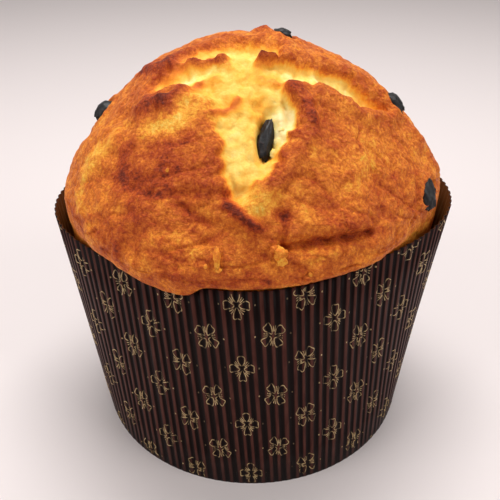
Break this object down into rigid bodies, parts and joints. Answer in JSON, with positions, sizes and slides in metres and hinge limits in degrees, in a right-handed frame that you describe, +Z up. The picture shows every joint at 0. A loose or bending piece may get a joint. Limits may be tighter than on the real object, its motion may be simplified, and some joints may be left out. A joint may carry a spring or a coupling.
{
  "type": "panettone",
  "caption": "Tall domed sweet loaf with raisins and a split crown, baked in and risen over a fluted paper case printed with small flowers.",
  "frame": {"origin": "centre of the paper case's flat underside", "axes": "+Z up from the base to the crown; -Y is the front, where the front arm of the split runs down; +X is the right"},
  "size_m": [0.2, 0.1793, 0.2023],
  "materials": {
    "crust": "baked crust, golden to red-brown, satin to dull, with pale yellow open crumb in the split",
    "paper": "dark brown fluted baking paper, slightly satin, with a pale gold outline flower print",
    "raisin": "nearly black wrinkled dried fruit with soft gloss"
  },
  "bodies": {
    "root": {"loaf": "crust", "case": "paper", "raisin_left": "raisin", "raisin_right": "raisin", "raisin_low": "raisin", "raisin_split": "raisin", "raisin_crown": "raisin"}
  },
  "joints": []
}
